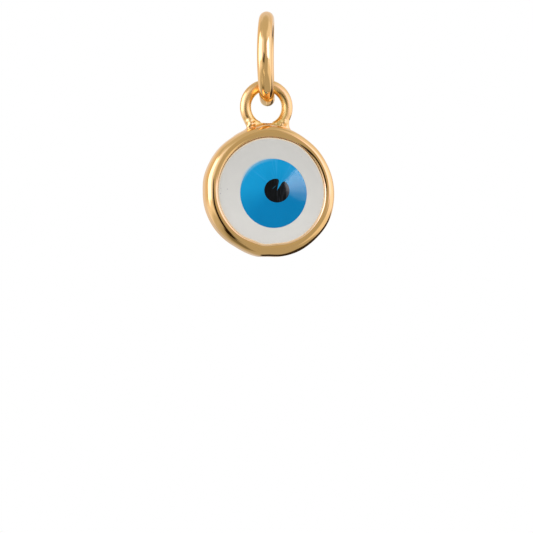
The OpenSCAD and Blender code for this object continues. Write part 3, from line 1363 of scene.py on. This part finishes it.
@dataclass(frozen=True)
class ResinFinish(PieceFinish):
    """Glossy cast resin with soft clouds; each colour adds its own body to it."""

    roughness: float = 0.16
    specular: float = 0.10

    def _body(self, bench: Bench, own: Socket, effects: Effects) -> Socket:
        """Return the body colour without its clouds."""
        raise NotImplementedError

    def _fill(self, bench: Bench, own: Socket, effects: Effects) -> dict[str, object]:
        """Lay out the resin."""
        mottle = bench.place(effects.mottle, {"Vector": own, "Scale": 0.9, "Contrast": 1.0})["Value"]
        tone = bench.ramp(mottle, 0.2, 0.8, (0.98, 1.02))
        colour = bench.mix(1.0, self._body(bench, own, effects), bench.pack(tone, tone, tone), "MULTIPLY")
        values = {"Vector": own, "Line Scale": 6.0, "Ripple Scale": 0.6, "Ripple": 0.3}
        polish = bench.place(effects.polish, values)
        return {
            "Base Color": colour,
            "Roughness": bench.math("MULTIPLY_ADD", polish["Lines"], 0.08, self.roughness),
            "Normal": bench.bump(polish["Height"], 0.05, 0.00003),
            "Specular IOR Level": self.specular,
        }


@dataclass(frozen=True, kw_only=True)
class EyeResin(ResinFinish):
    """Resin whose looks follow the stone's layout, with the hazy seam between the blue and the white."""

    stone: EyeStone
    haze_direction: float = 125.0

    def _seam(self, bench: Bench, own: Socket, effects: Effects, ramp: tuple[float, float]) -> Socket:
        """Return the hazy part of the seam.

        Args:
            bench: The material's bench.
            own: The drop's own coordinates.
            effects: The shared effects.
            ramp: How far outside the blue disc's edge the haze is 0 and 1.

        Returns:
            The mask, 1 where the haze is full.
        """
        centre = {"Vector": own, "Centre X": self.stone.iris_x, "Centre Y": self.stone.iris_y}
        values = {**centre, "Direction": self.haze_direction, "Full": 8.0, "Reach": 48.0}
        sector = bench.place(effects.sector, values)
        near = bench.ramp(sector["Radius"], *(self.stone.iris_r + part for part in ramp))
        return bench.math("MULTIPLY", near, sector["Mask"])


@dataclass(frozen=True, kw_only=True)
class WhiteResin(EyeResin):
    """White resin with painted shade that darkens it towards the top, a painted warm glow at the rim, dust in
    it and blue that has run into its edge.
    """

    # Painted shade: how much darker the white is at the top
    painted_top_shade: float = 0.88
    # Painted glow: the rim's warm light laid on the white along its edge
    painted_rim_glow_colour: Colour = (1.0, 0.78, 0.38)
    bleed_colour: Colour = (0.22, 0.53, 0.63)
    dust_colour: Colour = (0.30, 0.27, 0.24)
    bleed_reach: float = 0.15
    dust: tuple[Spot, ...] = (
        Spot(-2.84, 0.0, 30.0, 0.040, 0.025),
        Spot(-3.29, -0.29, 80.0, 0.040, 0.030),
        Spot(-3.27, 0.05, 20.0, 0.030, 0.020),
        Spot(1.95, 2.15, 0.0, 0.020, 0.020),
    )

    def _body(self, bench: Bench, own: Socket, effects: Effects) -> Socket:
        """Return the white with its painted shade towards the top, the painted glow of the rim's warm light,
        its dust and the blue at its inner edge.
        """
        # Painted shade: the white darkens towards the top
        tone = bench.ramp(bench.split(own)[1], -2.6, 3.2, (1.0, self.painted_top_shade))
        colour = bench.mix(1.0, self.colour, bench.pack(tone, tone, tone), "MULTIPLY")
        lip = bench.add("ShaderNodeAttribute", attribute_name=LIP).outputs["Fac"]
        # Painted glow of the rim's warm light along the white's edge
        colour = bench.mix(lip, colour, self.painted_rim_glow_colour)
        dust = bench.math("MULTIPLY", all_marks(bench, effects, own, self.dust), 0.55)
        colour = bench.mix(dust, colour, self.dust_colour)
        bleed = self._seam(bench, own, effects, (0.02 + self.bleed_reach, 0.0))
        return bench.mix(bleed, colour, self.bleed_colour)


@dataclass(frozen=True, kw_only=True)
class BlueResin(EyeResin):
    """Blue resin, with painted light making it paler over the upper left of its cone, and fine rays from the
    tip.
    """

    # Painted light: the paler blue of the cone's upper left
    painted_light_colour: Colour = (0.006, 0.345, 0.565)
    ray_colour: Colour = (0.06, 0.45, 0.72)
    haze_colour: Colour = (0.13, 0.47, 0.60)
    painted_light_direction: float = 112.0
    ray_direction: float = 95.0
    ray_share: float = 0.42
    haze_reach: float = 0.17

    def _body(self, bench: Bench, own: Socket, effects: Effects) -> Socket:
        """Return the blue, with painted light making it paler on one side, its rays and its hazy edge."""
        tip = {"Vector": own, "Centre X": self.stone.pupil_x, "Centre Y": self.stone.pupil_y}
        # Painted light: paler blue over the upper left of the cone, growing towards its edge
        values = {**tip, "Direction": self.painted_light_direction, "Full": 50.0, "Reach": 122.0}
        sector = bench.place(effects.sector, values)
        further = bench.ramp(sector["Radius"], 0.4, 2.4, (0.7, 1.15))
        colour = bench.mix(bench.math("MULTIPLY", sector["Mask"], further), self.colour, self.painted_light_colour)
        values = {**tip, "Direction": self.ray_direction, "Full": 20.0, "Reach": 70.0}
        above = bench.math("MULTIPLY", bench.place(effects.sector, values)["Mask"], self.ray_share)
        rays = bench.math("MULTIPLY", bench.place(effects.rays, tip)["Mask"], above)
        colour = bench.mix(rays, colour, self.ray_colour)
        haze = self._seam(bench, own, effects, (-self.haze_reach, 0.02))
        return bench.mix(haze, colour, self.haze_colour)


@dataclass(frozen=True)
class BlackResin(ResinFinish):
    """Black resin with upright streaks, greyer towards the right as a painted reflection, and one scratch
    that lets the blue through.
    """

    # Streak texture and painted reflection: the grey of the streaks
    streak_and_sheen_colour: Colour = (0.045, 0.05, 0.05)
    streak_scale: tuple[float, float, float] = (13.0, 1.2, 1.0)
    scratch_colour: Colour = (0.010, 0.075, 0.10)
    scratch: Spot = Spot(0.13, 0.15, 42.0, 0.15, 0.022)

    def _body(self, bench: Bench, own: Socket, effects: Effects) -> Socket:
        """Return the black with its streaks, greyer to the right as a painted reflection, and its scratch."""
        squeezed = bench.add("ShaderNodeVectorMath", {0: own, 1: self.streak_scale}, operation="MULTIPLY")
        streaks = bench.ramp(bench.noise(squeezed.outputs[0], 1.0, 3.0), 0.45, 0.75)
        # Painted reflection: the grey streaks grow stronger towards the right
        to_right = bench.ramp(bench.split(own)[0], -0.1, 0.95, (0.10, 1.0))
        colour = bench.mix(bench.math("MULTIPLY", streaks, to_right), self.colour, self.streak_and_sheen_colour)
        return bench.mix(all_marks(bench, effects, own, (self.scratch,)), colour, self.scratch_colour)


# The studio


@dataclass(frozen=True)
class Card:
    """A soft light or a dark card that stands far round the pendant, seen in its reflections.

    Angles are in degrees: azimuth from straight in front round to the right, and elevation.
    """

    SOCKETS: ClassVar[tuple[str, ...]] = (
        "Card Azimuth", "Card Elevation", "Half Width", "Half Height", "Edge", "Tilt"
    )
    what: str
    azimuth: float
    elevation: float
    half_width: float
    half_height: float
    edge: float
    level: Colour
    tilt: float = 0.0

    def sockets(self) -> dict[str, object]:
        """Return what goes into the card effect's sockets."""
        place = (self.azimuth, self.elevation, self.half_width, self.half_height, self.edge, self.tilt)
        return dict(zip(self.SOCKETS, place, strict=True))


@dataclass(frozen=True)
class Lamp:
    """A lamp for the gloss of some pieces alone, placed by its direction and its half sizes in degrees."""

    AIM: ClassVar[Vector] = Vector((0.0, 0.0, -10.5))
    what: str
    lit: tuple[str, ...]
    azimuth: float
    elevation: float
    half_width: float
    half_height: float
    level: Colour
    tilt: float = 0.0
    distance: float = 3000.0

    def build(self, pieces: dict[str, Object]) -> Object:
        """Make the lamp.

        Args:
            pieces: Every piece by the name of its node.

        Returns:
            The lamp, facing the pendant.
        """
        strength = max(self.level)
        halves = (self.half_width, self.half_height)
        data = bpy.data.lights.new(self.what, "AREA")
        data.shape = "RECTANGLE"
        data.size, data.size_y = (2.0 * self.distance * MM * math.tan(math.radians(half)) for half in halves)
        data.color = [part / strength for part in self.level]
        data.energy = strength * math.pi * data.size * data.size_y
        axes = facing(self.azimuth, self.elevation, self.tilt)
        lamp = put_facing(data.name, data, axes, axes[2] * self.distance * MM + self.AIM * MM)
        lamp.visible_camera = False
        lamp.visible_diffuse = False
        lit = bpy.data.collections.new(f"lit_by_{self.what}")
        for node in self.lit:
            lit.objects.link(pieces[node])
        lamp.light_linking.receiver_collection = lit
        return lamp


@dataclass
class Studio:
    """The floor, the lights and the camera."""

    azimuth: float = 1.5
    elevation: float = -3.0
    distance: float = 260.0
    width: float = 33.95
    aim_right: float = -0.038
    aim_up: float = -15.29
    floor_below: float = 60.0
    floor_radius: float = 600.0
    floor_thick: float = 2.0
    floor_points: int = 96
    sensor: float = 36.0
    near_clip: float = 0.01
    far_clip: float = 10.0
    ambient: Colour = (0.50, 0.50, 0.49)
    cards: tuple[Card, ...] = (
        Card("wall behind", 180.0, 14.0, 72.0, 26.0, 24.0, (0.86, 0.77, 0.68)),
        Card("ceiling", 0.0, 66.0, 200.0, 25.0, 14.0, (0.62, 0.62, 0.62)),
        Card("high band", 180.0, 46.0, 140.0, 9.0, 14.0, (0.80, 0.80, 0.86)),
        Card("high, left", -104.0, 47.0, 24.0, 9.0, 12.0, (0.60, 0.60, 0.60)),
        Card("right wall, high", 88.0, 38.0, 40.0, 17.0, 14.0, (0.95, 0.98, 1.15)),
        Card("right wall, low", 100.0, -20.0, 48.0, 13.0, 12.0, (0.96, 0.95, 1.03)),
        Card("right wall", 94.0, 8.0, 34.0, 18.0, 9.0, (1.20, 1.22, 1.60)),
        Card("right softbox", 59.0, 17.0, 22.0, 15.0, 10.0, (1.55, 1.42, 2.30)),
        Card("left, low", -115.0, -30.0, 65.0, 9.0, 12.0, (0.62, 0.62, 0.62)),
        Card("front left glow", -16.0, 22.0, 14.0, 21.0, 16.0, (0.86, 0.92, 1.10)),
        Card("left softbox's spill", -37.0, 22.0, 21.0, 23.0, 13.0, (1.05, 1.12, 1.60)),
        Card("under the left softbox", -88.0, -14.0, 54.0, 9.0, 11.0, (0.98, 1.00, 1.15)),
        Card("left softbox's foot", -84.0, -5.0, 13.0, 8.0, 8.0, (1.90, 1.70, 2.60)),
        Card("left softbox", -71.0, 17.0, 28.0, 22.0, 8.0, (3.00, 2.70, 3.60)),
        Card("front", 16.0, 14.0, 11.0, 17.0, 10.0, (0.54, 0.52, 0.47)),
        Card("low left dark", -98.0, -62.0, 44.0, 12.0, 14.0, (0.22, 0.21, 0.16)),
        Card("dark behind, right", 154.0, -29.0, 29.0, 23.0, 5.0, (0.04, 0.03, 0.02)),
        Card("camera and stand", -11.0, -15.0, 25.0, 10.0, 6.0, (0.02, 0.01, 0.0), 70.0),
        Card("stand's foot", -39.0, -49.0, 24.0, 10.0, 7.0, (0.02, 0.01, 0.0), 22.0),
    )
    lamps: tuple[Lamp, ...] = (
        Lamp("stone_gloss_high", STONE, 54.0, 12.6, 17.0, 4.2, (19.0, 19.0, 19.0)),
        Lamp("stone_gloss_middle", STONE, 54.0, 6.4, 17.0, 2.0, (12.0, 12.0, 12.0)),
        Lamp("stone_gloss_low", STONE, 54.0, 2.4, 17.0, 2.0, (5.0, 5.0, 5.0)),
        Lamp("ring_stand_fill", RING, -15.4, -27.0, 13.0, 10.5, (0.46, 0.46, 0.45), 70.0),
        Lamp("ring_foot_fill", RING, -39.0, -49.0, 24.5, 10.5, (0.46, 0.46, 0.45), 22.0),
        Lamp("ring_behind_fill", RING, 166.0, -37.0, 16.0, 16.0, (0.62, 0.57, 0.50)),
        Lamp("ring_right_softbox", RING, 67.0, 17.0, 19.0, 18.0, (0.8, 0.9, 2.4)),
    )

    @staticmethod
    def _card_group() -> Tree:
        """Build the node group that says where a card covers the view."""
        names = ("Azimuth", "Elevation", *Card.SOCKETS)
        bench, given, end = new_group("studio_card", dict.fromkeys(names, 0.0), "Cover")
        aside = bench.math("SUBTRACT", given["Azimuth"], given["Card Azimuth"])
        aside = bench.math("WRAP", aside, 180.0, -180.0)
        above = bench.math("SUBTRACT", given["Elevation"], given["Card Elevation"])
        turned = bench.turned(aside, above, given["Tilt"])
        covers = []
        for apart, half in zip(turned, ("Half Width", "Half Height"), strict=True):
            beyond = bench.math("SUBTRACT", bench.math("ABSOLUTE", apart), given[half])
            covers.append(bench.ramp(bench.math("DIVIDE", beyond, given["Edge"]), 0.5, -0.5))
        bench.join(end, {"Cover": bench.math("MULTIPLY", *covers)})
        return bench.tree

    def build_world(self) -> None:
        """Make the soft surroundings: pale to the camera, and lit cards to everything else."""
        world = bpy.data.worlds.new("studio")
        bpy.context.scene.world = world
        world.use_nodes = True
        world.node_tree.nodes.clear()
        bench = Bench(world.node_tree)
        x, y, z = bench.split(bench.add("ShaderNodeTexCoord").outputs["Generated"])
        way = {
            "Azimuth": bench.math("DEGREES", bench.math("ARCTAN2", x, bench.math("MULTIPLY", y, -1.0))),
            "Elevation": bench.math("DEGREES", bench.math("ARCSINE", z)),
        }
        group = self._card_group()
        colour: object = self.ambient
        for card in self.cards:
            cover = bench.place(group, {**way, **card.sockets()}, label=card.what)["Cover"]
            colour = bench.mix(cover, colour, card.level)
        lit = bench.add("ShaderNodeBackground", {"Color": colour})
        plain = bench.add("ShaderNodeBackground", {"Color": (1.0, 1.0, 1.0, 1.0)})
        seen = bench.add("ShaderNodeLightPath").outputs["Is Camera Ray"]
        both = bench.add("ShaderNodeMixShader", {0: seen, 1: lit.outputs[0], 2: plain.outputs[0]})
        bench.add("ShaderNodeOutputWorld", {"Surface": both.outputs[0]})

    def build_floor(self, effects: Effects) -> Object:
        """Make the pale floor, a wide disc well below the hanging pendant.

        Args:
            effects: The shared effects.

        Returns:
            The floor, staged.
        """
        angles = even_angles(self.floor_points)
        disc = np.stack([np.cos(angles), np.sin(angles)], axis=1) * self.floor_radius
        rising = ((0.3, -self.floor_thick), (1.0, -self.floor_thick), (1.0, 0.0), (0.1, 0.0))
        loops = [np.column_stack([disc * share, np.full(len(disc), h)]) for share, h in rising]
        stack = RingStack(loops[:-1])
        stack.blend_to(loops[-1], 6)
        place = Matrix.Translation(Vector((0.0, 0.0, -self.floor_below * MM)))
        floor = stack.to_shell().to_object("studio_floor", place)
        floor.data.materials.append(PaperFinish("pale_paper").material(effects))
        floor.visible_glossy = False
        floor.visible_shadow = False
        return floor

    def build_camera(self) -> None:
        """Make the camera at the photograph's angle and framing."""
        data = bpy.data.cameras.new("camera")
        data.sensor_width = self.sensor
        data.lens = data.sensor_width * self.distance / self.width
        data.clip_start, data.clip_end = self.near_clip, self.far_clip
        right, up, away = axes = facing(self.azimuth, self.elevation)
        aim = (right * self.aim_right + up * self.aim_up) * MM
        bpy.context.scene.camera = put_facing("camera", data, axes, aim + away * self.distance * MM)

    def build(self, pieces: dict[str, Object], effects: Effects) -> None:
        """Make the whole studio.

        Args:
            pieces: Every piece by the name of its node.
            effects: The shared effects.
        """
        self.build_world()
        for lamp in self.lamps:
            lamp.build(pieces)
        self.build_floor(effects)
        self.build_camera()
        bpy.context.scene.view_settings.view_transform = "Standard"


def main() -> None:
    """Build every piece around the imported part."""
    logging.basicConfig(level=logging.INFO, format="%(name)s: %(message)s")
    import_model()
    effects = Effects()
    frame = DropFrame()
    profile = CupProfile()
    cup = BezelCup(frame, profile)
    stone = EyeStone(frame, profile)
    gold = GoldFinish("gold_plating", Slot.GOLD, (0.92, 0.575, 0.222))
    white = WhiteResin("white_resin", Slot.WHITE, (0.757, 0.763, 0.59), stone=stone)
    blue = BlueResin("blue_resin", Slot.BLUE, (0.0005, 0.228, 0.420), roughness=0.07, stone=stone)
    black = BlackResin("black_resin", Slot.BLACK, (0.003, 0.004, 0.004), roughness=0.10)
    pieces = (
        (JumpRing().build(), gold, Body.RING, "jump_ring"),
        (cup.build(), gold, Body.DROP, "bezel_cup"),
        (stone.build_white(), white, Body.DROP, "eye_white"),
        (stone.build_iris(), blue, Body.DROP, "iris"),
        (stone.build_pupil(), black, Body.DROP, "pupil"),
    )
    for piece, finish, body, node in pieces:
        finish.dress(piece, effects)
        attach(piece, body.value)
        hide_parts(node)
        counts = len(piece.data.vertices), len(piece.data.polygons)
        LOG.info("%s: %d corners, %d faces, rides on %s", piece.name, *counts, body.value)
    Studio().build({node: piece for piece, _, _, node in pieces}, effects)


if __name__ == "__main__":
    main()
